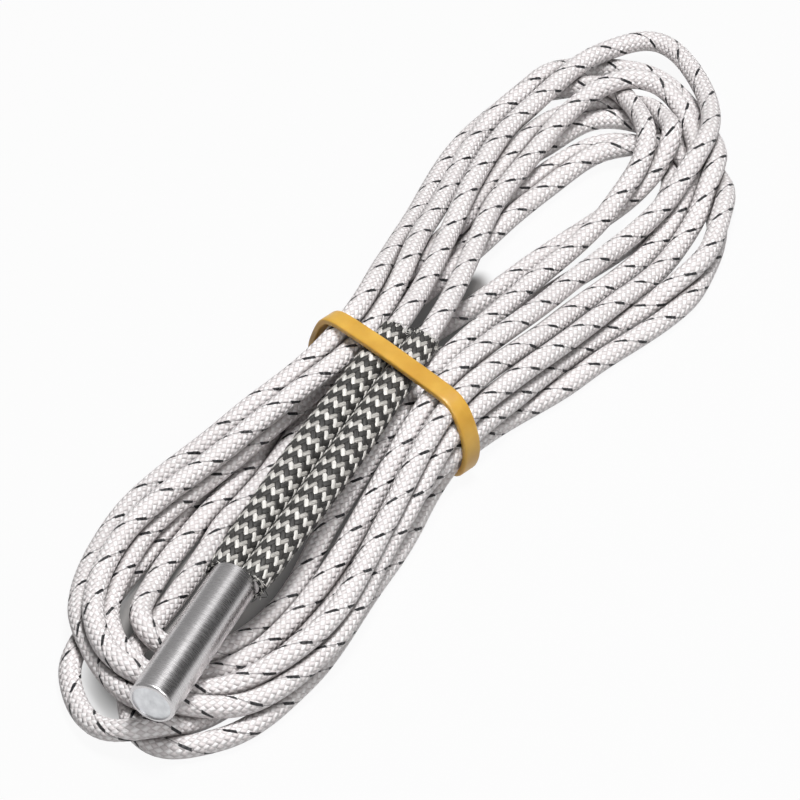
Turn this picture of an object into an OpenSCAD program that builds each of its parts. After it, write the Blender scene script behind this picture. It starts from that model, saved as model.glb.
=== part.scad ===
// Cartridge heater lying on its own hank of leads.
// The sheath lies along X with its closed end towards +X. The origin is on the
// sheath's axis, at the lead end. Millimetres, +Z up.

/* [Sheath] */
// Outside diameter of the sheath
heater_d = 6.5; // [5.5:0.5:8]
// Length of the sheath
heater_l = 24; // [20:1:40]
// Wall of the sheath tube
sheath_wall = 0.5; // [0.3:0.05:0.6]
// Radius of the rolled edge at the closed end
rim_r = 0.4; // [0.2:0.05:0.6]
// Thickness of the welded end disc
end_disc_t = 1; // [0.6:0.1:2]
// Rise of the end disc's crowned face
end_disc_crown = 0.15; // [0.05:0.05:0.3]
// Depth of the end disc's edge below the rolled edge
end_disc_sink = 0.2; // [0.1:0.1:0.5]

/* [Winding] */
// Thickness of the packed magnesia round the winding
fill_w = 0.5; // [0.3:0.05:0.55]
// Diameter of the resistance wire
wire_d = 0.3; // [0.2:0.05:0.35]
// Wanted pitch of the winding
wire_pitch = 1; // [0.8:0.1:2]
// Diameter of the two terminal pins
pin_d = 0.7; // [0.5:0.05:0.75]
// Distance between the two pins
pin_pitch = 1.8; // [1.7:0.05:1.9]
// Thickness of the insulating disc behind the end disc
spacer_t = 1; // [0.5:0.1:2]
// Thickness of the bead on top of the core
bead_t = 1; // [0.5:0.1:2]
// Gap beside the core that the wire's ends cross
leg_gap = 0.5; // [0.45:0.05:0.8]
// Running gap around the winding
wire_gap = 0.06; // [0.05:0.01:0.1]

/* [Lead seal] */
// Length of the cement seal
seal_l = 5; // [4:0.5:8]
// Outside diameter of a splice ferrule
splice_d = 1.5; // [1.2:0.1:1.6]
// Length of a splice ferrule
splice_l = 2.6; // [2:0.2:3]

/* [Sleeves] */
// Outside diameter of a woven sleeve
sleeve_d = 4.6; // [4.5:0.1:5.5]
// Wall of a woven sleeve
sleeve_wall = 0.4; // [0.2:0.05:0.45]
// Length of a woven sleeve
sleeve_l = 55; // [45:1:56]

/* [Leads] */
// Diameter of a braided lead
lead_d = 2.8; // [2:0.1:2.8]
// Diameter of a lead's bare tinned tip
tip_d = 1; // [0.6:0.1:1.6]
// Length of a lead's bare tinned tip
tip_l = 6; // [3:0.5:9]

/* [Hank] */
// Height of the loops at both ends of the hank
hank_h = 6; // [5:0.5:9]
// Radius of the loop at the heater's end
near_r = 21; // [18:0.5:24]
// Distance from the band to that loop's centre
near_reach = 49; // [42:1:56]
// Radius of the loop at the other end
far_r = 25; // [22:0.5:30]
// Distance from the band to that loop's centre
far_reach = 65; // [60:1:80]
// Width of the bundle of runs in each loop
run_w = 12; // [8:0.5:13]
// Width of the hank under the band
waist_w = 31; // [30:0.5:36]
// Length of the straight waist
waist_l = 18; // [17:1:20]
// Length of the raised runs under the sleeves
saddle_l = 26; // [20:1:28]
// Width of the raised runs under the sleeves and beside them
saddle_w = 24; // [18:1:28]
// Turn of the hank from the heater's axis
hank_turn = -8.5; // [-12:0.5:0]
// Room between the sheath and the hank under it
heater_room = 1; // [0.9:0.1:3]

/* [Rubber band] */
// Width of the band
band_w = 2.8; // [2:0.2:4]
// Thickness of the band
band_t = 1; // [0.6:0.1:1.4]
// Turn of the band from square across the hank
band_skew = -13.5; // [-22:0.5:0]

/* [Hidden] */

$fn = 64;
tight = 0.05;
big = 200;

// Along the sheath, from the lead end
bore_d = heater_d - 2 * sheath_wall;
disc_x = heater_l - end_disc_sink - end_disc_t;
spacer_x = disc_x - spacer_t;
bead_x = seal_l;
leg_x = bead_x + bead_t;
core_x = leg_x + leg_gap;
core_l = spacer_x - leg_gap - core_x;
splice_x = seal_l - splice_l;
pin_x = seal_l - splice_l / 2;

// The winding: whole turns and a half, so that its ends face the two pins
fill_bore = bore_d - 2 * fill_w;
core_d = fill_bore - 2 * wire_d - 4 * wire_gap;
coil_r = core_d / 2 + wire_d / 2 + wire_gap;
coil_l = core_l + leg_gap;
coil_turns = floor(coil_l / wire_pitch) - 0.5;
coil_steps = 16;
coil_sides = 6;
coil_start = leg_x + leg_gap / 2;
leg_r = (pin_pitch + pin_d) / 2 + 0.02;
coil_route = concat(
    [[coil_start, -leg_r, 0], [coil_start, -(leg_r + coil_r) / 2, 0]],
    [for (i = [0 : coil_steps * coil_turns])
        let (a = 180 + 360 * i / coil_steps)
        [coil_start + coil_l * i / (coil_steps * coil_turns), coil_r * cos(a), coil_r * sin(a)]],
    [[coil_start + coil_l, (leg_r + coil_r) / 2, 0], [coil_start + coil_l, leg_r, 0]]);

// Heights of the hank, from the sheath's axis. The sleeves lean a little from that axis
sleeve_turn = -1.4;
sleeve_start = 0.15;
sleeve_y = sleeve_d / 2 + tight / 2;
sleeve_room = sleeve_y + sleeve_d / 2 + tight;
saddle_z = -sleeve_d / 2 - tight / 2;
shoulder_z = saddle_z + 2.2;
loop_z = min(-heater_d / 2 - heater_room, saddle_z - 1);
floor_z = loop_z - hank_h;

// The hank's place: the middle of its waist, under the band
hank_x = -46;
hank_y = 1;

// Openings inside the two loops
near_hole_r = near_r - run_w;
near_hole_x = saddle_l / 2 + 2;
far_hole_r = far_r - run_w - 4;
far_hole_x = -saddle_l / 2 - 9;
far_hole_w = 4;
far_hole_reach = 4 - far_reach;

// The band's section, along its own plane
band_turn = hank_turn + band_skew;
band_half = (waist_w / 2 + band_w / 2 * sin(-band_skew)) / cos(band_skew);
saddle_half = (saddle_w / 2 + band_w / 2 * sin(-band_skew)) / cos(band_skew);
band_lean = band_turn - sleeve_turn;
band_shift = (hank_x * sin(sleeve_turn) - hank_y * cos(sleeve_turn)) / cos(band_lean);
band_sleeve = sleeve_y / cos(band_lean) + band_w / 2 * tan(-band_lean);

// Routes of the leads' loose stretches: out of the seal, through the sleeves and on
// to the hank, then from the hank's waist to the bare ends
lead_sides = 8;
route_a = [[0, -1.9, 0], [-5, -1.9, 0], [-10, -2, 0], [-16, -1.95, 0], [-23, -1.75, 0],
           [-30, -1.6, 0], [-37, -1.4, 0], [-44, -1.25, 0], [-51, -1.1, 0], [-57, -1.1, 0],
           [-62, -1.6, -0.8], [-67, -2.8, -2.2], [-72, -4, -4], [-76, -5.2, -6]];
route_b = [[0, 2.05, 0], [-5, 2.05, 0], [-10, 2.4, 0], [-16, 2.7, 0], [-23, 2.9, 0],
           [-30, 3.05, 0], [-37, 3.2, 0], [-44, 3.4, 0], [-51, 3.55, 0], [-57, 3.5, 0],
           [-62, 2.6, -0.8], [-67, 1.4, -2.2], [-72, 0.2, -4], [-76, -1, -6]];
end_l = 16;
end_step = 4;
end_y_a = -3.6;
end_y_b = 1.2;

function unit(v) = v / norm(v);
function heading(route, i) = unit(route[min(i + 1, len(route) - 1)] - route[max(i - 1, 0)]);
function ring(at, along, across, r, sides) =
    let (side = unit(cross(across, along)), top = cross(along, side))
    [for (k = [0 : sides - 1])
        at + r * (cos(360 * k / sides) * side + sin(360 * k / sides) * top)];

// A round tube swept along a route
module tube(route, d, sides, across) {
    last = len(route) - 1;
    points = [for (i = [0 : last])
        each ring(route[i], heading(route, i), across, d / 2, sides)];
    walls = [for (i = [0 : last - 1], k = [0 : sides - 1])
        let (n = (k + 1) % sides)
        [i * sides + k, (i + 1) * sides + k, (i + 1) * sides + n, i * sides + n]];
    caps = [[for (k = [0 : sides - 1]) k],
            [for (k = [sides - 1 : -1 : 0]) last * sides + k]];
    polyhedron(points, concat(walls, caps), convexity = 10);
}

// Stands what is drawn upwards along the sheath's axis, from x onwards
module along_axis(x) {
    translate([x, 0, 0]) rotate([0, 90, 0]) children();
}

module at_pin(side, x) {
    translate([0, side * pin_pitch / 2, 0]) along_axis(x) children();
}

module on_hank() {
    translate([hank_x, hank_y, 0]) rotate([0, 0, hank_turn]) children();
}

module sheath() {
    color("silver") along_axis(0) rotate_extrude() {
        translate([bore_d / 2, 0]) square([sheath_wall, heater_l - rim_r]);
        translate([bore_d / 2, heater_l - rim_r - tight]) square([sheath_wall - rim_r, rim_r + tight]);
        translate([heater_d / 2 - rim_r, heater_l - rim_r]) intersection() {
            circle(rim_r);
            translate([-sheath_wall + rim_r, -rim_r]) square([sheath_wall, 2 * rim_r]);
        }
    }
}

module end_disc() {
    crown_r = (pow(bore_d / 2, 2) + pow(end_disc_crown, 2)) / (2 * end_disc_crown);
    color("gainsboro") along_axis(disc_x) rotate_extrude() intersection() {
        square([bore_d / 2, end_disc_t + end_disc_crown]);
        translate([0, end_disc_t + end_disc_crown - crown_r]) circle(crown_r, $fn = 720);
    }
}

module spacer_disc() {
    color("ivory") along_axis(spacer_x) cylinder(d = bore_d, h = spacer_t);
}

module ceramic_core() {
    color("white") difference() {
        along_axis(core_x) cylinder(d = core_d, h = core_l);
        for (side = [-1, 1]) at_pin(side, core_x - 1) cylinder(d = pin_d, h = core_l + 2);
    }
}

module heating_coil() {
    color("dimgray") tube(coil_route, wire_d, coil_sides, [1, 0, 0]);
}

module magnesia_fill() {
    color("whitesmoke") along_axis(leg_x) difference() {
        cylinder(d = bore_d, h = spacer_x - leg_x);
        translate([0, 0, -1]) cylinder(d = fill_bore, h = spacer_x - leg_x + 2);
    }
}

module core_bead() {
    color("ivory") difference() {
        along_axis(bead_x) cylinder(d = bore_d, h = bead_t);
        for (side = [-1, 1]) at_pin(side, bead_x - 1) cylinder(d = pin_d, h = bead_t + 2);
    }
}

// A pin from its splice to x
module terminal_pin(side, x) {
    color("darkgray") at_pin(side, pin_x) cylinder(d = pin_d, h = x - pin_x);
}

module pin_a() {
    terminal_pin(-1, core_x + core_l);
}

module pin_b() {
    terminal_pin(1, spacer_x);
}

module splice(side) {
    color("lightgray") at_pin(side, splice_x) difference() {
        cylinder(d = splice_d, h = splice_l);
        translate([0, 0, -1]) cylinder(d = pin_d, h = splice_l + 2);
    }
}

module splice_a() {
    splice(-1);
}

module splice_b() {
    splice(1);
}

module cement_seal() {
    color("linen") difference() {
        along_axis(0) cylinder(d = bore_d, h = seal_l);
        for (side = [-1, 1]) {
            at_pin(side, -1) cylinder(d = pin_d, h = seal_l + 2);
            at_pin(side, splice_x) cylinder(d = splice_d, h = splice_l + 1);
        }
    }
}

// A lead's bare conductor, from the seal's face to the middle of its splice
module tail(side) {
    color("darkgray") at_pin(side, 0) cylinder(d = pin_d, h = pin_x);
}

module tail_a() {
    tail(-1);
}

module tail_b() {
    tail(1);
}

module sleeve(side) {
    color("dimgray") rotate([0, 0, sleeve_turn]) translate([-sleeve_start, side * sleeve_y, 0])
        along_axis(-sleeve_l) difference() {
            cylinder(d = sleeve_d, h = sleeve_l);
            translate([0, 0, -1]) cylinder(d = sleeve_d - 2 * sleeve_wall, h = sleeve_l + 2);
        }
}

module sleeve_a() {
    sleeve(-1);
}

module sleeve_b() {
    sleeve(1);
}

// A lead's first stretch, cut off where it joins the hank's loops
module first_stretch(route) {
    color("white") difference() {
        tube(route, lead_d, lead_sides, [0, 0, 1]);
        translate([-big / 2, -big / 2, loop_z - big]) cube(big);
    }
}

module lead_a() {
    first_stretch(route_a);
}

module lead_b() {
    first_stretch(route_b);
}

// From a flat end at x, of width w, out to a round end
module tongue(x, w, reach, r) {
    hull() {
        translate([reach, 0]) circle(r);
        translate([min(x, x + sign(reach) * tight), -w / 2]) square([tight, w]);
    }
}

module hank_outline() {
    difference() {
        union() {
            square([waist_l, waist_w], center = true);
            tongue(waist_l / 2 - tight, waist_w, near_reach, near_r);
            tongue(tight - waist_l / 2, waist_w, -far_reach, far_r);
        }
        tongue(near_hole_x, 2 * near_hole_r, near_reach, near_hole_r);
        tongue(far_hole_x, far_hole_w, far_hole_reach, far_hole_r);
    }
}

module lead_hank() {
    color("white") difference() {
        on_hank() {
            translate([0, 0, floor_z]) linear_extrude(hank_h) hank_outline();
            translate([-saddle_l / 2, -saddle_w / 2, loop_z - 1])
                cube([saddle_l, saddle_w, shoulder_z - loop_z + 1]);
        }
        rotate([0, 0, sleeve_turn])
            translate([-big / 2, -sleeve_room, saddle_z]) cube([big, 2 * sleeve_room, big]);
        translate([hank_x, hank_y, floor_z - 1]) rotate([0, 0, band_turn])
            translate([-band_w / 2 - tight, -waist_w, 0])
                cube([band_w + 2 * tight, 2 * waist_w, band_t + tight + 1]);
    }
}

// A lead's last stretch, lying on the ground from the hank's waist into the near loop
module last_stretch(y) {
    z = floor_z + lead_d / 2;
    route = [for (x = [0 : end_step : end_l]) [near_hole_x + x, y, z]];
    color("white") on_hank() tube(route, lead_d, lead_sides, [0, 0, 1]);
}

module lead_end_a() {
    last_stretch(end_y_a);
}

module lead_end_b() {
    last_stretch(end_y_b);
}

module tip(y) {
    color("silver") on_hank() translate([near_hole_x + end_l, y, floor_z + lead_d / 2])
        rotate([0, 90, 0]) cylinder(d = tip_d, h = tip_l);
}

module tip_a() {
    tip(end_y_a);
}

module tip_b() {
    tip(end_y_b);
}

// What the band is stretched round, grown by r
module band_outline(r) {
    hull() {
        for (side = [-1, 1]) {
            translate([side * band_half, floor_z + band_t + tight]) circle(r, $fn = 32);
            translate([side * band_half, loop_z]) circle(r, $fn = 32);
            translate([side * saddle_half, shoulder_z]) circle(r, $fn = 32);
            translate([band_shift + side * band_sleeve, 0]) circle(sleeve_d / 2 + tight + r, $fn = 64);
        }
    }
}

module rubber_band() {
    color("goldenrod") translate([hank_x, hank_y, 0]) rotate([90, 0, band_turn + 90])
        translate([0, 0, -band_w / 2]) linear_extrude(band_w) difference() {
            band_outline(tight + band_t);
            band_outline(tight);
        }
}

sheath();
end_disc();
spacer_disc();
ceramic_core();
heating_coil();
magnesia_fill();
core_bead();
pin_a();
pin_b();
splice_a();
splice_b();
cement_seal();
tail_a();
tail_b();
sleeve_a();
sleeve_b();
lead_a();
lead_b();
lead_hank();
lead_end_a();
lead_end_b();
tip_a();
tip_b();
rubber_band();
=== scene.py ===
# %% [markdown]
# The part is a cartridge heater: a steel sheath with a heating coil inside, two woven sleeves, and two long
# glass-braided leads that are folded into a hank and held by a rubber band. The solid model is loaded
# first, as a fixed frame that everything else is fitted to. Sizes in this script are in millimetres, and MM
# turns them into Blender's metres. Bump depths, noise scales and subsurface radii are written as Blender
# takes them, in metres.

# %% Load the frame
import math

import bpy
import numpy as np
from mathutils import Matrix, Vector


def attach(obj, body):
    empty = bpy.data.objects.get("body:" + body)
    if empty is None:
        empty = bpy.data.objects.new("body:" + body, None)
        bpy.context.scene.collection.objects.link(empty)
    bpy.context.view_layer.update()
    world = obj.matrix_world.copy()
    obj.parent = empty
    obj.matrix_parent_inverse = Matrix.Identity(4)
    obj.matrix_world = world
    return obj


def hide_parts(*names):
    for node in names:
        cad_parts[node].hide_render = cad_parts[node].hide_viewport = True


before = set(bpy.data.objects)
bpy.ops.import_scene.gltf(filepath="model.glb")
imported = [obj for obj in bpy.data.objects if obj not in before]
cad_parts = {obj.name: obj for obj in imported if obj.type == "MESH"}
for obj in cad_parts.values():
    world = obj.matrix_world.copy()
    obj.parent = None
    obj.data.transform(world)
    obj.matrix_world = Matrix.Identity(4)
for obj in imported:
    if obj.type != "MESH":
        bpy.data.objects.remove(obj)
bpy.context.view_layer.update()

MM = 0.001
scene = bpy.context.scene
scene.view_settings.view_transform = "Standard"
bpy.ops.object.select_all(action="DESELECT")

# %% [markdown]
# A small part is photographed from far away with a long lens, so that near and far ends keep almost the
# same scale. The camera stands 600 mm from a point in the hank's waist and looks down at 43 degrees.

# %% Camera
AZIMUTH, ELEVATION = math.radians(114.34), math.radians(43.0)
DISTANCE, LENS, SENSOR, CLIP = 600.0, 194.8, 36, 10
TARGET = Vector((-46.5, 2.8, -6.0))
ground = math.cos(ELEVATION)
back = Vector((math.sin(AZIMUTH) * ground, -math.cos(AZIMUTH) * ground, math.sin(ELEVATION)))
bpy.ops.object.camera_add(location=(TARGET + back * DISTANCE) * MM)
camera = bpy.context.object
camera.rotation_euler = back.to_track_quat("Z", "Y").to_euler()
camera.data.sensor_width = SENSOR
camera.data.lens = LENS
camera.data.clip_start = CLIP * MM
scene.camera = camera
print("camera at", [round(c, 3) for c in camera.location])

# %% [markdown]
# Every finish is a node tree. These helpers add one node or a small group each, so that a finish reads from
# top to bottom: a number or another node's output goes into each socket.


# %% Helpers for finishes
def feed(tree, socket, value):
    """Another node's output, or a plain value, goes into a socket."""
    if isinstance(value, bpy.types.NodeSocket):
        tree.links.new(value, socket)
    else:
        socket.default_value = value


def add(tree, kind, links=None, **settings):
    """One node, with its own settings, and a number or an output for each named socket."""
    node = tree.nodes.new(kind)
    for key, value in settings.items():
        setattr(node, key, value)
    for socket, value in (links or {}).items():
        feed(tree, node.inputs[socket], value)
    return node


def maths(tree, operation, first, second=0.0, third=0.0):
    links = {0: first, 1: second, 2: third}
    return add(tree, "ShaderNodeMath", links, operation=operation).outputs[0]


def smooth_step(tree, value, low, high):
    """Nothing up to low, one from high on, and a smooth rise between them."""
    links = {0: value, 1: low, 2: high, 3: 0.0, 4: 1.0}
    return add(tree, "ShaderNodeMapRange", links, interpolation_type="SMOOTHSTEP").outputs[0]


def blend(tree, share, first, second):
    """A colour that goes from the first to the second as the share rises."""
    links = {0: share, 6: first, 7: second}
    return add(tree, "ShaderNodeMix", links, data_type="RGBA").outputs[2]


def ramp(tree, value, *stops):
    node = add(tree, "ShaderNodeValToRGB", {0: value})
    elements = node.color_ramp.elements
    while len(elements) < len(stops):
        elements.new(0.5)
    for element, (place, shade) in zip(elements, stops):
        element.position = place
        element.color = (*shade, 1)
    return node.outputs[0]


def two_tone(tree, shader, value, dark, pale, low=0.3, high=0.7):
    """A base colour that goes from dark to pale as the value rises from low to high."""
    feed(tree, shader.inputs["Base Color"], ramp(tree, value, (low, dark), (high, pale)))


def new_finish(name):
    material = bpy.data.materials.new(name)
    material.use_nodes = True
    tree = material.node_tree
    return material, tree, tree.nodes["Principled BSDF"]


def object_noise(tree, scale, stretch=(1, 1, 1), detail=3.0):
    place = add(tree, "ShaderNodeTexCoord").outputs["Object"]
    mapped = add(tree, "ShaderNodeMapping", {"Vector": place, "Scale": stretch}).outputs[0]
    links = {"Vector": mapped, "Scale": scale, "Detail": detail}
    return add(tree, "ShaderNodeTexNoise", links).outputs["Fac"]


def bump(tree, shader, height, distance, strength):
    """Fine relief that only the light sees, as deep as the distance."""
    links = {"Height": height, "Distance": distance, "Strength": strength}
    feed(tree, shader.inputs["Normal"], add(tree, "ShaderNodeBump", links).outputs[0])


# %% [markdown]
# The part lies on a plain white sheet. The sheet takes the soft shadow, and where it is seen or
# mirrored, a share of plain white keeps it as pale as the background. In two ovals, inside the near fold and
# behind the band, that share is smaller and the sheet's own colour is darker: painted shade, so that the
# gaps between the leads look shaded.

# %% Floor
FLOOR, FLOOR_SIZE = -10.25, 6000
HANK_TURN = math.radians(-8.5)
# Two ovals on the sheet where its colour is darker and less white: painted shade.
NEAR_FOLD, NEAR_FOLD_SIZE = (-17, -3), (38, 14)
BEHIND_BAND, BEHIND_BAND_SIZE = (-66, -1), (14, 4.5)
WHITE_INSIDE, WHITE_MORE_OUTSIDE = 0.05, 0.89
bpy.ops.mesh.primitive_grid_add(
    x_subdivisions=2, y_subdivisions=2, size=FLOOR_SIZE * MM, location=(0, 0, FLOOR * MM)
)
floor = bpy.context.object
floor.name = "floor_sheet"


def oval(tree, place, centre, size):
    """One on the edge of an oval that lies along the hank, less inside it."""
    links = {
        "Vector": place,
        "Location": (centre[0] * MM, centre[1] * MM, 0),
        "Rotation": (0, 0, HANK_TURN),
        "Scale": (size[0] * MM, size[1] * MM, 1),
    }
    inside = add(tree, "ShaderNodeMapping", links, vector_type="TEXTURE").outputs[0]
    return add(tree, "ShaderNodeVectorMath", {0: inside}, operation="LENGTH").outputs["Value"]


paper, tree, shader = new_finish("floor_paper")
place = add(tree, "ShaderNodeTexCoord").outputs["Object"]
away = oval(tree, place, NEAR_FOLD, NEAR_FOLD_SIZE)
away = maths(tree, "MINIMUM", away, oval(tree, place, BEHIND_BAND, BEHIND_BAND_SIZE))
outside = smooth_step(tree, away, 0.85, 1.1)
# Inside the two ovals the sheet's colour is darker: painted shade.
two_tone(tree, shader, outside, (0.22, 0.21, 0.205), (0.42, 0.42, 0.42), 0.0, 1.0)
shader.inputs["Roughness"].default_value = 0.9
rays = add(tree, "ShaderNodeLightPath").outputs
seen = maths(tree, "MAXIMUM", rays["Is Camera Ray"], rays["Is Glossy Ray"])
seen = maths(tree, "MAXIMUM", seen, rays["Is Transmission Ray"])
share = maths(tree, "MULTIPLY_ADD", outside, WHITE_MORE_OUTSIDE, WHITE_INSIDE)
share = maths(tree, "MULTIPLY", seen, share)
white = add(tree, "ShaderNodeEmission", {"Color": (1, 1, 1, 1), "Strength": 1.0}).outputs[0]
mix = add(tree, "ShaderNodeMixShader", {0: share, 1: shader.outputs[0], 2: white}).outputs[0]
feed(tree, tree.nodes["Material Output"].inputs["Surface"], mix)
floor.data.materials.append(paper)
print("floor at z =", FLOOR, "mm, nodes in its finish:", len(tree.nodes))

# %% [markdown]
# The studio is white to the camera and dim to the part, so that the lamps make the light and shade.
# Polished steel shows what is round it: mirrored in the sheath, one side of the studio is dark and the
# ceiling has a bright place. They are the dark stripe and the bright streak along the sheath.

# %% World
WORLD_DIM, WORLD_SEEN = 0.07, 0.93
MIRRORED, MIRRORED_BRIGHT = 0.3, 0.45
world = bpy.data.worlds.new("studio_world")
world.use_nodes = True
scene.world = world
tree = world.node_tree


def towards(tree, way, direction, low, high):
    """One for what lies that way in the studio, falling to nothing beside it."""
    links = {0: way, 1: direction}
    along = add(tree, "ShaderNodeVectorMath", links, operation="DOT_PRODUCT").outputs["Value"]
    return smooth_step(tree, along, low, high)


way = add(tree, "ShaderNodeTexCoord").outputs["Generated"]
dark_side = towards(tree, way, (-0.668, 0.578, 0.469), 0.88, 0.94)
ceiling = towards(tree, way, (-0.668, 0.02, 0.744), 0.97, 0.995)
mirrored = maths(tree, "MULTIPLY_ADD", dark_side, -MIRRORED, MIRRORED)
mirrored = maths(tree, "MULTIPLY_ADD", ceiling, MIRRORED_BRIGHT, mirrored)
rays = add(tree, "ShaderNodeLightPath").outputs
seen = maths(tree, "MAXIMUM", rays["Is Camera Ray"], rays["Is Transmission Ray"])
level = maths(tree, "MULTIPLY_ADD", seen, WORLD_SEEN, WORLD_DIM)
level = maths(tree, "MULTIPLY_ADD", rays["Is Glossy Ray"], mirrored, level)
feed(tree, tree.nodes["Background"].inputs["Color"], (1, 1, 1, 1))
feed(tree, tree.nodes["Background"].inputs["Strength"], level)
print("world nodes:", len(tree.nodes))

# %% [markdown]
# Two soft boxes light a small part like this on a table. The key lamp hangs above the hank and gives the
# short soft shadows, and the wide fill lamp beside the camera lifts the near sides of the leads.


# %% Lamps
def soft_lamp(name, place, size, power, aim=(-50, 0, 0)):
    bpy.ops.object.light_add(type="AREA", location=Vector(place) * MM)
    lamp = bpy.context.object
    lamp.name = name
    lamp.rotation_euler = (Vector(place) - Vector(aim)).to_track_quat("Z", "Y").to_euler()
    lamp.data.shape = "RECTANGLE"
    lamp.data.size, lamp.data.size_y = size[0] * MM, size[1] * MM
    lamp.data.energy = power


soft_lamp("key_lamp", (-70, 50, 520), (140, 140), 3.3)
soft_lamp("fill_lamp", (380, 330, 420), (300, 250), 1.5)

# %% [markdown]
# Each lead is a fixed length of 3.0 mm glass braid. It leaves the sheath inside its sleeve, runs to the far
# fold of the hank, comes back on the other side, goes round the near fold, and so on. The straight part
# repeats the solid model's route. A fold is three points chosen on the photograph, the widest place
# on one side, the tip, and the widest place on the other side, and then the place where the lead crosses
# under the band.

# %% Leads: the folds of the hank
LEAD = 3.0
WAIST = (-46.0, 1.0)
# The band lies a little askew across the waist.
BAND_SKEW = math.radians(-13.5)


def under_band(across, z):
    """A crossing, in the hank's own axes: so far across under the band, and so high."""
    return (-across * math.sin(BAND_SKEW), across * math.cos(BAND_SKEW), z)


# The starts, in the solid model's own points.
STARTS = {
    "a": [(0, -1.9, 0), (-5, -1.9, 0), (-10, -2, 0), (-16, -1.95, 0), (-23, -1.75, 0), (-30, -1.6, 0)]
    + [(-37, -1.4, 0), (-44, -1.25, 0), (-51, -1.1, 0), (-57, -1.1, 0)],
    "b": [(0, 2.05, 0), (-5, 2.05, 0), (-10, 2.4, 0), (-16, 2.7, 0), (-23, 2.9, 0), (-30, 3.05, 0)]
    + [(-37, 3.2, 0), (-44, 3.4, 0), (-51, 3.55, 0), (-57, 3.5, 0)],
}
# The folds, in the hank's own axes: along it towards the heater, across it, and up.
FOLDS = {
    "a": [
        ((-60, -14.5, -2), (-86, -8, -2.5), (-57, 13, -2.5), under_band(9.2, 0.6)),
        ((40, 13, -6), (61, 4, -6), (44, -12, -5.5), under_band(-8.8, -4.4)),
        ((-52, -6, -7), (-69, 4, -7.3), (-45, 23, -8.6), under_band(13.9, -7.8)),
        ((50, 19, -8.6), (68.5, 7, -8.6), (42, -4.4, -8.6), under_band(-9.8, -7.8)),
        ((-58, -12, -6.5), (-72, -3, -6.5), (-55, 20.4, -8), under_band(14.5, -5)),
        ((48, 15.5, -6.5), (70.3, 1, -8.2), (51.5, -10.8, -8.6), under_band(-11.6, -3.8)),
        ((-65, -12, -8.0), (-75, -3.5, -6.5), (-64, 6.0, -5.7), under_band(-5, -7.8)),
    ],
    "b": [
        ((-62, -10.5, -4), (-78, -4, -4), (-50, 14.8, -5.5), under_band(11.8, -0.4)),
        ((42, 17, -6.2), (62.5, 4, -6), (44, -14, -5), under_band(-7, -0.3)),
        ((-64, -19, -4.5), (-82, -7, -6), (-48, 18, -6), under_band(13.6, -2.5)),
        ((45, 18.5, -7), (64.5, 4.5, -6), (41, -17, -5), under_band(-9.9, -1.1)),
        ((-56, -20.5, -5.8), (-75, -9, -5), (-50, 6.5, -3.6), under_band(6.4, 0.6)),
        ((48, 9.8, -6), (56, 1.8, -5.7), (48, -6.2, -6.2), under_band(-12.4, -6.6)),
        ((-60, -7, -8.6), (-69.5, 1.5, -8.6), (-60, 10, -8.6), under_band(0.6, -7.8)),
    ],
}
# The last stretch of each lead lies on the floor: how far across the hank, and how far along it.
END_ACROSS = {"a": -3.6, "b": 1.2}
END_ALONG = (15, 19, 23, 27, 31)
print("folds of each lead", {name: len(folds) for name, folds in FOLDS.items()})

# %% [markdown]
# One loop turns the folds into the points that a lead is led through. Between the widest place and the tip
# goes one more point, where an ellipse would be half-way round. A smooth curve through the points is then
# cut into equal steps, like beads on a string.

# %% Leads: planned lines
HALF_ROUND = (0.71, 0.29, 0.5)
TO_FOLD, TO_BAND = (0.5, 0.55, 0.5), (0.5, 0.45, 0.5)
STEP, FINE_STEP = 1.3, 0.25


def hank(u, v, z):
    """A point of the hank: u along it towards the heater, v across it, z up."""
    c, s = math.cos(HANK_TURN), math.sin(HANK_TURN)
    return (WAIST[0] + u * c - v * s, WAIST[1] + u * s + v * c, z)


def between(p, q, shares):
    return tuple(a + (b - a) * share for a, b, share in zip(p, q, shares))


def route_of(name):
    """All the points that one lead is led through."""
    points = list(STARTS[name])
    before = None
    for wide, tip, wide_back, crossing in FOLDS[name]:
        if before:
            points.append(hank(*between(before, wide, TO_FOLD)))
        points.append(hank(*wide))
        points.append(hank(*between(wide, tip, HALF_ROUND)))
        points.append(hank(*tip))
        points.append(hank(*between(wide_back, tip, HALF_ROUND)))
        points.append(hank(*wide_back))
        points.append(hank(*between(wide_back, crossing, TO_BAND)))
        points.append(hank(*crossing))
        before = crossing
    points += [hank(u, END_ACROSS[name], FLOOR + LEAD / 2) for u in END_ALONG]
    return np.array(points, float)


def run_of(line):
    """The way along a line at each of its points."""
    return np.concatenate([[0], np.cumsum(np.linalg.norm(np.diff(line, axis=0), axis=1))])


def even_steps(curve, step):
    run = run_of(curve)
    marks = np.linspace(0, run[-1], int(round(run[-1] / step)) + 1)
    return np.stack([np.interp(marks, run, curve[:, axis]) for axis in range(3)], 1)


def smooth_line(points, step):
    """A smooth curve through the points, cut into equal steps."""
    chord = np.linalg.norm(np.diff(points, axis=0), axis=1)
    t = run_of(points)
    slope = np.gradient(points, t, axis=0)
    fine = np.arange(0, t[-1], FINE_STEP)
    k = np.clip(np.searchsorted(t, fine, side="right") - 1, 0, len(t) - 2)
    h = chord[k][:, None]
    x = ((fine - t[k]) / chord[k])[:, None]
    curve = (
        (2 * x**3 - 3 * x**2 + 1) * points[k]
        + (x**3 - 2 * x**2 + x) * h * slope[k]
        + (3 * x**2 - 2 * x**3) * points[k + 1]
        + (x**3 - x**2) * h * slope[k + 1]
    )
    return even_steps(np.vstack([curve, points[-1]]), step)


plan = {name: smooth_line(route_of(name), STEP) for name in "ab"}
for name, line in plan.items():
    print("lead", name, "planned length", round(len(line) * STEP), "mm")

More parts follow.
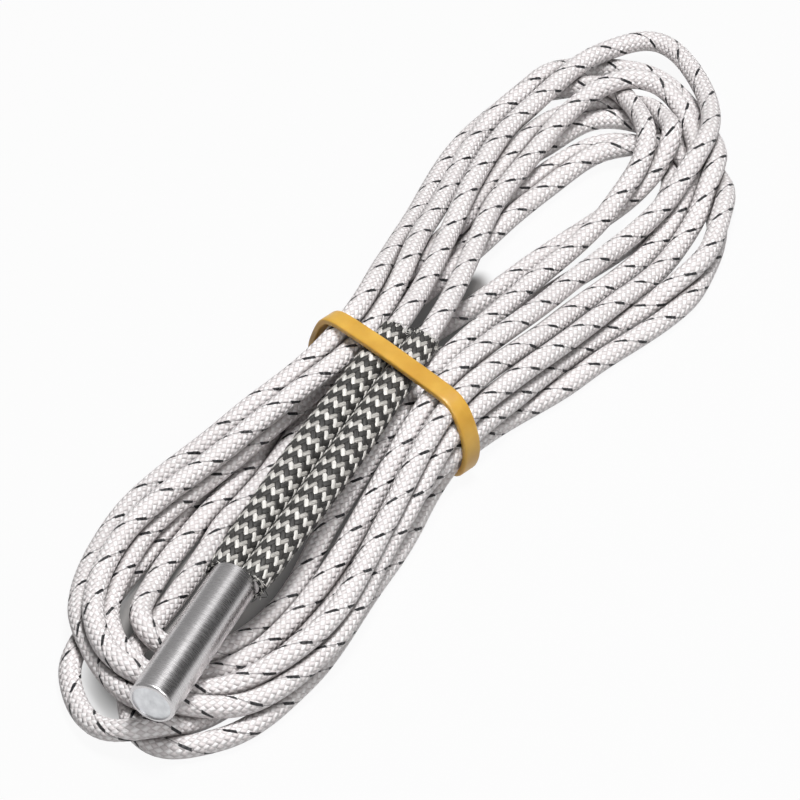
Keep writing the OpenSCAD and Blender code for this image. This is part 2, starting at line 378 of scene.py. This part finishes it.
# %% [markdown]
# Two cords can't be in one place, so the planned lines are going to be settled on each other. Before that,
# each bead is told how thick it is, whether it is held, how low it may go, and how fast it sinks. A bead
# inside a sleeve is as thick as the sleeve. The first stretch and the last end are held.

# %% Leads: beads
IN_SLEEVE, HELD_START, HELD_END_BEADS = 56, 58, 13
SLEEVE_ROOM, SLEEVE_ROOM_BULGE, LEAD_PLAY = 2.34, 0.24, 0.03
BAND_W, BAND_T = 2.8, 0.9
LIFT_REACH, LIFT_RUN, LIFT_PLAY = 7.0, 5.0, 0.05
SINK, SINK_FROM, SINK_RUN = 0.008, 6, 25
beads = np.vstack([plan["a"], plan["b"]])
count_a, count = len(plan["a"]), len(beads)
EACH_LEAD = (slice(0, count_a), slice(count_a, count))
along = np.concatenate([np.arange(count_a), np.arange(count - count_a)])
which = np.repeat([0, 1], [count_a, count - count_a])
to_end = np.where(which == 0, count_a, count - count_a) - along
in_sleeve = along * STEP < IN_SLEEVE
held = (along * STEP < HELD_START) | (to_end < HELD_END_BEADS)
bulge = np.sin(math.pi * np.clip(along * STEP / IN_SLEEVE, 0, 1)) ** 2
radius = np.where(in_sleeve, SLEEVE_ROOM + SLEEVE_ROOM_BULGE * bulge, LEAD / 2 + LEAD_PLAY)
BAND_TURN = math.radians(90) + HANK_TURN + BAND_SKEW
BAND_ACROSS = np.array((math.cos(BAND_TURN), math.sin(BAND_TURN), 0))
BAND_WIDE = np.array((math.sin(BAND_TURN), -math.cos(BAND_TURN), 0))
BAND_PLACE = np.array((*WAIST, 0))


def lowest(points):
    """The floor under each bead: the sheet, or the rubber band where the hank lies on it."""
    away = abs((points - BAND_PLACE) @ BAND_WIDE)
    lift = np.clip((LIFT_REACH - away) / LIFT_RUN, 0, 1)
    return FLOOR + LEAD / 2 + (BAND_T + LIFT_PLAY) * lift * lift * (3 - 2 * lift)


# The band holds up what it is stretched round, so nothing sinks there.
from_band = abs((beads[:, :2] - WAIST) @ (math.cos(HANK_TURN), math.sin(HANK_TURN)))
sink = np.where(held, 0, SINK) * np.clip((from_band - SINK_FROM) / SINK_RUN, 0, 1)
print("beads", count, "of which held", int(held.sum()), "and in a sleeve", int(in_sleeve.sum()))

# %% [markdown]
# Each bead now sinks a little, again and again. Beads that overlap push each other apart, the floor, the
# sheath and the sleeves stay in the way, and what is moved is smoothed along the lead, so that it passes
# over its neighbour in a long low hump. A bead that sinks also slides back along the line of sight, so that
# the folds keep their place in the picture.

# %% Leads: settle them on each other
ROUNDS, QUICK_ROUNDS, PAIRS_EVERY, PAIRS_REACH = 500, 60, 12, 5.0
SAME_LEAD_BEADS = 5
SLIDE, STIFFNESS, PUSH, CROWDED = 0.03, 0.35, 0.42, 0.6
SHEATH_FROM, SHEATH_TO, SHEATH_CLEAR = -1.5, 25.5, 4.7
LAST_STROKES, STROKE = 5, 0.3
TINY = 1e-9
SIGHT = np.array((back.x / back.z, back.y / back.z))


def near_pairs(points, reach):
    """Pairs of beads within reach that are neither close on the same lead nor both in a sleeve."""
    square = (points**2).sum(1)
    gap = square[:, None] + square[None] - 2 * points @ points.T
    first, second = np.nonzero(np.triu(gap < reach**2, 1))
    apart = (which[first] != which[second]) | (abs(along[first] - along[second]) > SAME_LEAD_BEADS)
    keep = apart & ~(in_sleeve[first] & in_sleeve[second])
    return first[keep], second[keep]


def push_apart(points, first, second):
    """Beads that overlap move apart, each by its share. A held bead leaves the whole way to the other."""
    weight = np.where(held, 0.0, 1.0)
    share = weight[first] + weight[second] + TINY
    apart = points[first] - points[second]
    gap = np.linalg.norm(apart, axis=1) + TINY
    push = np.clip(radius[first] + radius[second] - gap, 0, None) * PUSH / gap
    move = apart * push[:, None]
    total = np.zeros_like(points)
    for axis in range(3):
        total[:, axis] += np.bincount(first, move[:, axis] * 2 * weight[first] / share, count)
        total[:, axis] -= np.bincount(second, move[:, axis] * 2 * weight[second] / share, count)
    touching = (push > 0).astype(float)
    hits = np.bincount(first, touching, count) + np.bincount(second, touching, count)
    return points + total / np.maximum(1, CROWDED * hits)[:, None]


def settle(points, rounds):
    start = points.copy()
    for turn in range(rounds):
        if turn % PAIRS_EVERY == 0:
            first, second = near_pairs(points, PAIRS_REACH)
        points[:, 2] -= sink
        shift = points - start
        shift[:, :2] += SLIDE * (shift[:, 2:] * SIGHT - shift[:, :2])
        for lead in EACH_LEAD:
            part = shift[lead]
            part[1:-1] += STIFFNESS * ((part[:-2] + part[2:]) / 2 - part[1:-1])
        points = start + shift
        for _ in range(2):
            points = push_apart(points, first, second)
        across = np.hypot(points[:, 1], points[:, 2])
        by_sheath = (points[:, 0] > SHEATH_FROM) & (points[:, 0] < SHEATH_TO)
        in_sheath = by_sheath & (across < SHEATH_CLEAR) & ~held
        points[in_sheath, 1:] *= (SHEATH_CLEAR / np.maximum(across[in_sheath], 0.1))[:, None]
        points[:, 2] = np.maximum(points[:, 2], lowest(points))
        points[held] = start[held]
    return points


beads = settle(beads, ROUNDS)
# A last few strokes along each lead take out small kinks.
for _ in range(LAST_STROKES):
    smoother = beads.copy()
    for lead in EACH_LEAD:
        part = beads[lead]
        smoother[lead][1:-1] += STROKE * ((part[:-2] + part[2:]) / 2 - part[1:-1])
    beads = np.where(held[:, None], beads, smoother)
    beads[:, 2] = np.maximum(beads[:, 2], np.where(held, beads[:, 2], lowest(beads)))
first, second = near_pairs(beads, LEAD)
gap = np.linalg.norm(beads[first] - beads[second], axis=1)
gap = gap[~(in_sleeve[first] | in_sleeve[second])]
print("closest beads", round(float(gap.min()), 2), "mm; pairs that overlap a little:", len(gap))

# %% [markdown]
# A tube is then drawn along each line: a ring of points every millimetre, turned as little as possible from
# one ring to the next. Its UV map holds the way along the lead in mm and the way round it in turns, so that
# braid and tracer follow the cord.

# %% Leads: tubes
RING_STEP, TUBE_SIDES = 1.0, 14
BEND_REACH = 3


def unit(vectors):
    return vectors / np.linalg.norm(vectors, axis=1)[:, None]


def ring_faces(start, run, sides):
    """Faces and along-and-round UVs of one tube. Start is the number of its first point."""
    faces, uvs = [], []
    for i in range(len(run) - 1):
        a, b = start + i * sides, start + (i + 1) * sides
        for j in range(sides):
            k = (j + 1) % sides
            faces.append((a + j, a + k, b + k, b + j))
            uvs += [(run[i], j / sides), (run[i], (j + 1) / sides)]
            uvs += [(run[i + 1], (j + 1) / sides), (run[i + 1], j / sides)]
    for i, flip in ((0, -1), (len(run) - 1, 1)):
        faces.append(tuple(start + i * sides + j for j in range(sides))[::flip])
        uvs += [(run[i], 0)] * sides
    return faces, uvs


def link_piece(name, verts, faces, uvs):
    mesh = bpy.data.meshes.new(name)
    mesh.from_pydata((verts * MM).tolist(), [], faces)
    layer = mesh.uv_layers.new(name="along_round")
    layer.data.foreach_set("uv", np.array(uvs, "f").ravel())
    mesh.shade_smooth()
    piece = bpy.data.objects.new(name, mesh)
    scene.collection.objects.link(piece)
    return piece


def tube(name, line, thickness, sides):
    """A closed tube along the line."""
    ahead = unit(np.gradient(line, axis=0))
    side = np.zeros_like(line)
    side[0] = np.cross(ahead[0], (0, 0, 1))
    for i in range(len(line)):
        s = side[max(i - 1, 0)]
        s = s - ahead[i] * (s @ ahead[i])
        side[i] = s / np.linalg.norm(s)
    over = np.cross(ahead, side)
    angle = (np.arange(sides) * 2 * math.pi / sides)[None, :, None]
    ring = np.cos(angle) * side[:, None] + np.sin(angle) * over[:, None]
    verts = (line[:, None] + ring * thickness / 2).reshape(-1, 3)
    return link_piece(name, verts, *ring_faces(0, run_of(line), sides))


def tightest_bend(line):
    """The smallest radius of a circle through three points of the line, 3 mm apart, and where it is."""
    p, q, r = line[: -2 * BEND_REACH], line[BEND_REACH:-BEND_REACH], line[2 * BEND_REACH :]
    sides = [np.linalg.norm(d, axis=1) for d in (q - p, r - q, r - p)]
    area = np.linalg.norm(np.cross(q - p, r - p), axis=1) / 2 + TINY
    bend = sides[0] * sides[1] * sides[2] / (4 * area)
    return bend.min(), q[bend.argmin()]


lines = {name: smooth_line(beads[lead], RING_STEP) for name, lead in zip("ab", EACH_LEAD)}
leads = {}
for name, line in lines.items():
    leads[name] = tube("braided_lead_" + name, line, LEAD, TUBE_SIDES)
    bend, spot = tightest_bend(line)
    print("lead", name, "tightest bend", round(bend, 1), "mm at", [round(c, 1) for c in spot])
    print("lead", name, "length", round(run_of(line)[-1]), "mm,", len(leads[name].data.polygons), "faces")

# %% [markdown]
# Between two leads that touch, the braid's colour is darkened: painted shade. How near each point of a
# tube is to the next lead is measured and kept on the mesh as an attribute, which the braid's finish then
# reads.

# %% Leads: how near the next lead is
SHADE_REACH = 1.2
SAME_STRETCH_RINGS, FAR_AWAY = 8, 9
POINTS_AT_A_TIME = 2000


def nearness(name):
    """For each point of a tube: one where it touches another stretch of lead, nothing out of its reach."""
    mesh = leads[name].data
    verts = np.empty(len(mesh.vertices) * 3)
    mesh.vertices.foreach_get("co", verts)
    verts = verts.reshape(-1, 3) / MM
    ring = np.arange(len(verts)) // TUBE_SIDES
    near = np.zeros(len(verts))
    for other, line in lines.items():
        for start in range(0, len(verts), POINTS_AT_A_TIME):
            some = slice(start, start + POINTS_AT_A_TIME)
            gap = (verts[some] ** 2).sum(1)[:, None] + (line**2).sum(1)[None] - 2 * verts[some] @ line.T
            gap = np.sqrt(np.maximum(gap, 0)) - LEAD / 2
            if other == name:
                rings_off = abs(ring[some][:, None] - np.arange(len(line))[None])
                gap[rings_off < SAME_STRETCH_RINGS] = FAR_AWAY
            near[some] = np.maximum(near[some], 1 - gap.min(1) / SHADE_REACH)
    return np.clip(near, 0, 1)


for name, lead in leads.items():
    values = nearness(name)
    lead.data.attributes.new("nearness", "FLOAT", "POINT").data.foreach_set("value", values.astype("f"))
    print("lead", name, "points that touch another stretch:", int((values > 0.9).sum()), "of", len(values))

# %% [markdown]
# The cover of a lead is a plain braid of white glass yarns: one set winds to the right, the other to the
# left, and they change places on top like the squares of a chessboard. Two black tracer threads wind along
# with them and show as short dashes. The yarns are far too fine to model on more than two metres of lead,
# so the finish draws them from the UV map and raises them with a bump.

# %% Leads: braid finish
CELLS, CELL_RUN = 10.0, 1.1
TRACER_PITCH, TRACER_RUN, TRACERS = 14.4, 3.0, 2.0
TRACER_EDGE, DASH_EDGE, THIN_EDGE, THIN_SHARE = (0.047, 0.06), (0.24, 0.28), (0.014, 0.03), 0.55
# Painted shade: a greyer colour for the left-winding yarns where they lie on top, and a darker colour in the
# grooves between yarns.
YARN_PAINTED_SHADE, GROOVE_PAINTED_SHADE = (0.68, 0.64, 0.64, 1), (0.42, 0.37, 0.36, 1)
# Painted shade where two leads touch.
GAP_PAINTED_SHADE, TRACER = (0.10, 0.083, 0.078, 1), (0.012, 0.012, 0.014, 1)
GROOVE_SHADE_SHARE, GAP_SHADE_SHARE = 0.36, 0.85
braid, tree, shader = new_finish("glass_braid")
uv = add(tree, "ShaderNodeUVMap", uv_map="along_round").outputs[0]
way, turn = add(tree, "ShaderNodeSeparateXYZ", {0: uv}).outputs[:2]


def hump(tree, yarn):
    """Nothing at the edges of a yarn, one in its middle."""
    part = maths(tree, "FRACT", yarn)
    rest = maths(tree, "SUBTRACT", 1.0, part)
    return maths(tree, "MULTIPLY", maths(tree, "MULTIPLY", part, rest), 4.0)


def float_over(tree, across, along):
    """A yarn that lies on top for one cell: round across, and dipping under at both ends."""
    return maths(tree, "MULTIPLY", across, maths(tree, "MULTIPLY_ADD", along, 0.45, 0.55))


def off_middle(tree, value):
    """How far the part of a value after the point is from a half."""
    part = maths(tree, "FRACT", value)
    return maths(tree, "ABSOLUTE", maths(tree, "SUBTRACT", part, 0.5))


def within(tree, value, edge):
    """One below the edge, nothing above it."""
    return maths(tree, "SUBTRACT", 1.0, smooth_step(tree, value, *edge))


around = maths(tree, "MULTIPLY", turn, CELLS)
onward = maths(tree, "DIVIDE", way, CELL_RUN)
right_yarn = maths(tree, "ADD", around, onward)
left_yarn = maths(tree, "SUBTRACT", around, onward)
cell = maths(tree, "ADD", maths(tree, "FLOOR", right_yarn), maths(tree, "FLOOR", left_yarn))
other = maths(tree, "MULTIPLY", maths(tree, "FRACT", maths(tree, "MULTIPLY", cell, 0.5)), 2.0)
right_hump, left_hump = hump(tree, right_yarn), hump(tree, left_yarn)
right_top = float_over(tree, right_hump, left_hump)
left_top = float_over(tree, left_hump, right_hump)
weave = add(tree, "ShaderNodeMix", {0: other, 2: right_top, 3: left_top}).outputs[0]

helix = maths(tree, "SUBTRACT", turn, maths(tree, "DIVIDE", way, TRACER_PITCH))
off = off_middle(tree, maths(tree, "MULTIPLY", helix, TRACERS))
off_dash = off_middle(tree, maths(tree, "DIVIDE", way, TRACER_RUN))
dashes = maths(tree, "MULTIPLY", within(tree, off, TRACER_EDGE), within(tree, off_dash, DASH_EDGE))
thin = maths(tree, "MULTIPLY", within(tree, off, THIN_EDGE), THIN_SHARE)
tracer = maths(tree, "MAXIMUM", dashes, thin)

pale = ramp(tree, object_noise(tree, 260.0), (0.3, (0.80, 0.77, 0.77)), (0.7, (0.92, 0.90, 0.90)))
# Where the left-winding set lies on top the colour is greyer: painted shade of how light falls on it.
colour = blend(tree, other, pale, YARN_PAINTED_SHADE)
# Darker colour in the grooves between yarns: painted shade.
groove_shade = maths(tree, "MULTIPLY", maths(tree, "SUBTRACT", 1.0, weave), GROOVE_SHADE_SHARE)
colour = blend(tree, groove_shade, colour, GROOVE_PAINTED_SHADE)
# Darker where another stretch of lead is near: painted shade between the leads.
near = add(tree, "ShaderNodeAttribute", attribute_name="nearness").outputs["Fac"]
near = maths(tree, "MULTIPLY", smooth_step(tree, near, 0.25, 1.0), GAP_SHADE_SHARE)
colour = blend(tree, near, colour, GAP_PAINTED_SHADE)
colour = blend(tree, tracer, colour, TRACER)
feed(tree, shader.inputs["Base Color"], colour)
shader.inputs["Roughness"].default_value = 0.55
bump(tree, shader, weave, 0.00018, 0.9)
print("braid finish nodes:", len(tree.nodes))

# %% [markdown]
# A lead is limp. Each lead gets the braid finish and is attached to the root body, and the solid model's own
# leads, lead ends and hank are hidden.

for name, lead in leads.items():
    lead.data.materials.append(braid)
    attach(lead, "root")
    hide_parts("lead_" + name, "lead_end_" + name, "lead_hank")

# %% [markdown]
# Each sleeve is braided from 40 glass tows, dark and pale in turn. One half winds to the right, the other
# to the left, and each tow goes over two of the other set and under the next two, which gives the saw-tooth
# rings. Here every tow is a real strand whose height rises and falls, so light and shade fall as on woven
# yarn.


# %% Sleeves: many strands in one mesh
def strands_piece(name, strands, sides):
    """One piece from many strands: (line, outward directions, half width, half thickness, finish)."""
    verts, faces, uvs, kinds, start = [], [], [], [], 0
    angle = (np.arange(sides) * 2 * math.pi / sides)[None, :, None]
    for line, outward, half_w, half_t, kind in strands:
        ahead = unit(np.gradient(line, axis=0))
        side = unit(np.cross(outward, ahead))
        up = np.cross(ahead, side)
        wide = np.cos(angle) * side[:, None] * np.reshape(half_w, (-1, 1, 1))
        high = np.sin(angle) * up[:, None] * np.reshape(half_t, (-1, 1, 1))
        verts.append((line[:, None] + (wide + high)).reshape(-1, 3))
        more_faces, more_uvs = ring_faces(start, run_of(line), sides)
        faces += more_faces
        uvs += more_uvs
        kinds += [kind] * len(more_faces)
        start += len(line) * sides
    piece = link_piece(name, np.vstack(verts), faces, uvs)
    piece.data.polygons.foreach_set("material_index", kinds)
    return piece


# %% [markdown]
# A sleeve tucks in a little at both ends and is fullest in the middle. Each tow runs on a helix, one step
# round from the next. A dark tube inside makes the gaps between the tows dark: painted shade. Where the
# sleeve was cut, loose fibres of glass stand off the ends. They come from seeded random numbers, so that
# they are the same each time.

# %% Sleeves: braid the tows
SLEEVE_L, SLEEVE_R, SLEEVE_Y, SLEEVE_START = 52.5, 2.3, 2.325, 0.15
SLEEVE_TURN = math.radians(-1.4)
SLEEVE_POINTS, STRAND_SIDES = 165, 6
NEAR_TUCK, FAR_TUCK, TUCK_RUN, FULLNESS = 0.10, 0.06, 3, 0.10
TOWS, TOW_PITCH = 20, 26.8
TOW_W, TOW_T, TOW_RISE, TOW_FLAT = 0.37, 0.11, 0.10, 1.35
LINER_R, LINER_POINTS, LINER_INSET = 1.8, 40, 0.2
FIBRES, FIBRE_W, FIBRE_T, FIBRE_POINTS = 46, 0.05, 0.04, 7
# The places of the finishes on a sleeve.
# PALE_IN_SHADE is the pale tow made greyer: painted shade for the set that winds to the left.
DARK, PALE, LINER, PALE_IN_SHADE = range(4)
rng = np.random.default_rng(7)


def lean(points):
    """From the sleeve's own line to the row's axes."""
    c, s = math.cos(SLEEVE_TURN), math.sin(SLEEVE_TURN)
    x, y, z = points.T
    return np.stack([c * x - s * y, s * x + c * y, z], 1)


def frayed_ends(centre_y):
    """Loose glass fibres that stand off both cut ends."""
    strands = []
    t = np.linspace(0, 1, FIBRE_POINTS)[:, None]
    for end, out in ((0.0, 0.35), (SLEEVE_L, -1.0)):
        root = np.array((-SLEEVE_START - end - 0.4 * out, 0.92 * centre_y, 0))
        for _ in range(FIBRES):
            angle = rng.uniform(0, 2 * math.pi)
            outward = np.array((0, math.cos(angle), math.sin(angle)))
            round_it = np.array((0, -math.sin(angle), math.cos(angle)))
            start = root + outward * (SLEEVE_R * 0.93)
            first = np.array((out, 0, 0)) * rng.uniform(0.2, 0.9) + outward * rng.uniform(0.05, 0.4)
            second = round_it * rng.normal(0, 0.8) + outward * rng.uniform(-0.5, 0.3)
            line = lean(start + t * first + t * t * second)
            kind = DARK if rng.integers(0, 4) == 3 else PALE
            strands.append((line, np.tile(outward, (len(t), 1)), FIBRE_W, FIBRE_T, kind))
    return strands


def sleeve_strands(centre_y):
    """The tows of one sleeve, the dark tube inside it, and the loose fibres."""
    strands = []
    x = np.linspace(0, SLEEVE_L, SLEEVE_POINTS)
    close = 1 - NEAR_TUCK * np.exp(-((x / TUCK_RUN) ** 2))
    close -= FAR_TUCK * np.exp(-(((x - SLEEVE_L) / TUCK_RUN) ** 2))
    close += FULLNESS * np.sin(math.pi * x / SLEEVE_L) ** 2
    middle = np.stack([-SLEEVE_START - x, centre_y * close, np.zeros_like(x)], 1)
    # The set that winds to the left gets the greyer pale tow: painted shade.
    for way, light in ((1, PALE), (-1, PALE_IN_SHADE)):
        for k in range(TOWS):
            angle = 2 * math.pi * (k / TOWS + way * x / TOW_PITCH)
            crossing = k + way * 2 * TOWS * x / TOW_PITCH
            wave = np.cos(2 * math.pi * (k + crossing - 0.5) / 4) * way
            wave = np.clip(TOW_FLAT * wave, -1, 1)
            r = (SLEEVE_R - TOW_T - TOW_RISE) * close + TOW_RISE * wave
            outward = np.stack([np.zeros_like(x), np.cos(angle), np.sin(angle)], 1)
            half_w = TOW_W * close * (1.1 - 0.2 * (k % 2))
            line = lean(middle + outward * r[:, None])
            strands.append((line, outward, half_w, TOW_T, light if k % 2 else DARK))
    # The dark tube inside: painted shade in the gaps between the tows.
    x = np.linspace(LINER_INSET, SLEEVE_L - LINER_INSET, LINER_POINTS)
    line = np.stack([-SLEEVE_START - x, np.full_like(x, centre_y * 0.95), np.zeros_like(x)], 1)
    upward = np.tile((0.0, 0.0, 1.0), (LINER_POINTS, 1))
    strands.append((lean(line), upward, LINER_R, LINER_R, LINER))
    return strands + frayed_ends(centre_y)


sleeves = {}
for name, centre_y in (("a", -SLEEVE_Y), ("b", SLEEVE_Y)):
    sleeves[name] = strands_piece("woven_sleeve_" + name, sleeve_strands(centre_y), STRAND_SIDES)
    print("sleeve", name, len(sleeves[name].data.polygons), "faces")

# %% [markdown]
# A tow is a bundle of fine fibres, so its colour is streaked along its length. One function makes the
# finish from a dark and a pale shade: black yarn, white yarn, the same white made greyer for the set that
# winds to the left, which is painted shade, and the dark inside, which is painted shade too.


# %% Sleeves: finishes
def tow_finish(name, dark, pale, roughness):
    """Glass yarn: fine fibres along the tow, with some lighter and darker ones."""
    material, tree, shader = new_finish(name)
    uv = add(tree, "ShaderNodeUVMap", uv_map="along_round").outputs[0]
    mapped = add(tree, "ShaderNodeMapping", {"Vector": uv, "Scale": (0.8, 24, 1)}).outputs[0]
    links = {"Vector": mapped, "Scale": 1.0, "Detail": 2.0}
    fibre = add(tree, "ShaderNodeTexNoise", links).outputs["Fac"]
    two_tone(tree, shader, fibre, dark, pale, 0.35, 0.68)
    shader.inputs["Roughness"].default_value = roughness
    bump(tree, shader, fibre, 0.00004, 0.7)
    return material


tow_finishes = {
    DARK: tow_finish("dark_glass_tow", (0.008, 0.008, 0.008), (0.055, 0.052, 0.048), 0.6),
    PALE: tow_finish("pale_glass_tow", (0.46, 0.445, 0.42), (0.90, 0.88, 0.84), 0.6),
    # The near-black colour of the inside is painted shade.
    LINER: tow_finish("sleeve_inside_painted_shade", (0.01, 0.01, 0.01), (0.03, 0.03, 0.03), 0.8),
    PALE_IN_SHADE: tow_finish("pale_tow_painted_shade", (0.20, 0.19, 0.175), (0.56, 0.54, 0.51), 0.6),
}
for name, sleeve in sleeves.items():
    for kind in sorted(tow_finishes):
        sleeve.data.materials.append(tow_finishes[kind])
    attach(sleeve, "root")
    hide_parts("sleeve_" + name)
    print("sleeve", name, "finishes:", len(sleeve.data.materials))

# %% [markdown]
# The rubber band is stretched round the hank and the sleeves, so its line is the tightest loop round all
# that it holds. Each bead under the band becomes a ring of points as thick as the lead, and the convex
# outline of all the rings is the loop.

# %% Band: the tightest loop
LOOP_STEP, LOOP_STROKES = 0.8, 6
BAND_REACH, BAND_PLAY, FLOOR_PLAY, BEAD_POINTS = 0.6, 0.08, 0.02, 40


def turns_left(a, b, c):
    return (b[0] - a[0]) * (c[1] - a[1]) > (b[1] - a[1]) * (c[0] - a[0])


def tight_loop(points):
    """The convex outline of flat points, counter-clockwise."""
    points = sorted(map(tuple, points))
    outline = []
    for run in (points, points[::-1]):
        line = []
        for p in run:
            while len(line) > 1 and not turns_left(line[-2], line[-1], p):
                line.pop()
            line.append(p)
        outline += line[:-1]
    return np.array(outline)


under = abs((beads - BAND_PLACE) @ BAND_WIDE) < BAND_W / 2 + BAND_REACH
flat = np.stack([(beads[under] - BAND_PLACE) @ BAND_ACROSS, beads[under][:, 2]], 1)
grown = radius[under] + BAND_PLAY + BAND_T / 2
angle = np.linspace(0, 2 * math.pi, BEAD_POINTS, endpoint=False)
ring = np.stack([np.cos(angle), np.sin(angle)], 1)
cloud = (flat[:, None] + ring[None] * grown[:, None, None]).reshape(-1, 2)
cloud[:, 1] = np.maximum(cloud[:, 1], FLOOR + BAND_T / 2 + FLOOR_PLAY)
loop = tight_loop(cloud)
closed = np.column_stack([np.vstack([loop, loop[:1]]), np.zeros(len(loop) + 1)])
loop = even_steps(closed, LOOP_STEP)[:-1, :2]
for _ in range(LOOP_STROKES):
    loop = 0.5 * loop + 0.25 * (np.roll(loop, 1, axis=0) + np.roll(loop, -1, axis=0))
print("band loop", len(loop), "points, round", round(LOOP_STEP * len(loop)), "mm")

# %% [markdown]
# A rubber band is a slice of a moulded tube. It is made in the same way here: the loop is a ring of edges,
# which is extruded to the band's width, given its thickness by Solidify and rounded by Bevel.

# %% Band: model the strip
STRIPS = 4
BAND_EDGE, BAND_EDGE_SEGMENTS, SMOOTH_ANGLE = 0.25, 3, math.radians(50)
bpy.ops.object.select_all(action="DESELECT")
bpy.ops.mesh.primitive_circle_add(vertices=len(loop), radius=0.01, location=(0, 0, 0))
band = bpy.context.object
band.name = "stretched_band"
for vertex, (s, z) in zip(band.data.vertices, loop):
    vertex.co = Vector(BAND_PLACE + BAND_ACROSS * s + np.array((0, 0, z)) - BAND_WIDE * BAND_W / 2) * MM
bpy.ops.object.mode_set(mode="EDIT")
bpy.ops.mesh.select_all(action="SELECT")
for _ in range(STRIPS):
    bpy.ops.mesh.extrude_region_move(
        TRANSFORM_OT_translate={"value": Vector(BAND_WIDE) * BAND_W / STRIPS * MM}
    )
bpy.ops.mesh.select_all(action="SELECT")
bpy.ops.mesh.normals_make_consistent(inside=False)
bpy.ops.object.mode_set(mode="OBJECT")
wall = band.modifiers.new("wall", "SOLIDIFY")
wall.thickness, wall.offset = BAND_T * MM, 0.0
edge = band.modifiers.new("edge", "BEVEL")
edge.width, edge.segments, edge.limit_method = BAND_EDGE * MM, BAND_EDGE_SEGMENTS, "ANGLE"
for name in ("wall", "edge"):
    bpy.ops.object.modifier_apply(modifier=name)
bpy.ops.object.shade_smooth_by_angle(angle=SMOOTH_ANGLE)
print("band", len(band.data.polygons), "faces")

# %% [markdown]
# Natural rubber is amber and a little cloudy. Light goes a short way into it, which a small share of
# subsurface scattering shows, and its skin is finely grained.

# %% Band: finish
rubber, tree, shader = new_finish("amber_rubber")
cloudy = object_noise(tree, 180.0, detail=4.0)
two_tone(tree, shader, cloudy, (0.50, 0.26, 0.03), (0.64, 0.38, 0.065))
shader.inputs["Roughness"].default_value = 0.38
shader.inputs["Subsurface Weight"].default_value = 0.25
shader.inputs["Subsurface Radius"].default_value = (0.002, 0.001, 0.0003)
bump(tree, shader, object_noise(tree, 900.0), 0.00003, 0.6)
band.data.materials.append(rubber)
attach(band, "root")
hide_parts("rubber_band")
print("band finish nodes:", len(tree.nodes))

# %% [markdown]
# The sheath is drawn steel tube, polished across its length, so fine marks run round it. The end disc is
# set into the tube and shows a matt, slightly mottled face.


# %% Sheath and end disc
def paint(node, material):
    """The solid model's own mesh keeps its shape and gets a finish."""
    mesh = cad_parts[node].data
    mesh.materials.clear()
    mesh.materials.append(material)


brushed, tree, shader = new_finish("brushed_sheath")
marks = object_noise(tree, 1.0, stretch=(9000, 900, 900), detail=4.0)
two_tone(tree, shader, marks, (0.58, 0.565, 0.57), (0.65, 0.635, 0.64))
shader.inputs["Metallic"].default_value = 1.0
rough = add(tree, "ShaderNodeMapRange", {0: marks, 1: 0.3, 2: 0.7, 3: 0.24, 4: 0.32}).outputs[0]
feed(tree, shader.inputs["Roughness"], rough)
bump(tree, shader, marks, 0.000002, 0.4)
paint("sheath", brushed)

disc, tree, shader = new_finish("pressed_disc")
mottle = object_noise(tree, 900.0, detail=5.0)
two_tone(tree, shader, mottle, (0.62, 0.63, 0.65), (0.80, 0.81, 0.83))
shader.inputs["Metallic"].default_value = 0.9
shader.inputs["Roughness"].default_value = 0.45
bump(tree, shader, mottle, 0.00002, 0.6)
paint("end_disc", disc)
print("painted", [m.name for m in (brushed, disc)])

# %% [markdown]
# The parts inside the sheath are not seen from outside, and the bare lead ends hardly, but each still gets
# the finish of what it is made of: ceramic, packed powder, cement, resistance wire, nickel and tinned
# copper.


# %% Hidden parts
def grainy(name, dark, pale, metallic, roughness, scale=700.0):
    material, tree, shader = new_finish(name)
    grain = object_noise(tree, scale, detail=4.0)
    two_tone(tree, shader, grain, dark, pale)
    shader.inputs["Metallic"].default_value = metallic
    shader.inputs["Roughness"].default_value = roughness
    bump(tree, shader, grain, 0.00002, 0.5)
    return material


ceramic = grainy("white_ceramic", (0.72, 0.70, 0.66), (0.84, 0.83, 0.80), 0.0, 0.5)
for node in ("ceramic_core", "spacer_disc", "core_bead"):
    paint(node, ceramic)
powder = grainy("magnesia_powder", (0.60, 0.57, 0.52), (0.76, 0.74, 0.70), 0.0, 0.95, 1500.0)
paint("magnesia_fill", powder)
cement = grainy("sealing_cement", (0.50, 0.47, 0.42), (0.66, 0.64, 0.60), 0.0, 0.9, 1200.0)
paint("cement_seal", cement)
wire = grainy("heating_wire", (0.30, 0.28, 0.25), (0.45, 0.43, 0.40), 1.0, 0.35)
paint("heating_coil", wire)
nickel = grainy("nickel_wire", (0.55, 0.53, 0.49), (0.70, 0.68, 0.64), 1.0, 0.28)
tinned = grainy("tinned_strands", (0.62, 0.62, 0.62), (0.80, 0.80, 0.80), 1.0, 0.32, 2500.0)
for side in "ab":
    for node in ("pin_" + side, "splice_" + side):
        paint(node, nickel)
    for node in ("tail_" + side, "tip_" + side):
        paint(node, tinned)
print("finishes", len(bpy.data.materials))
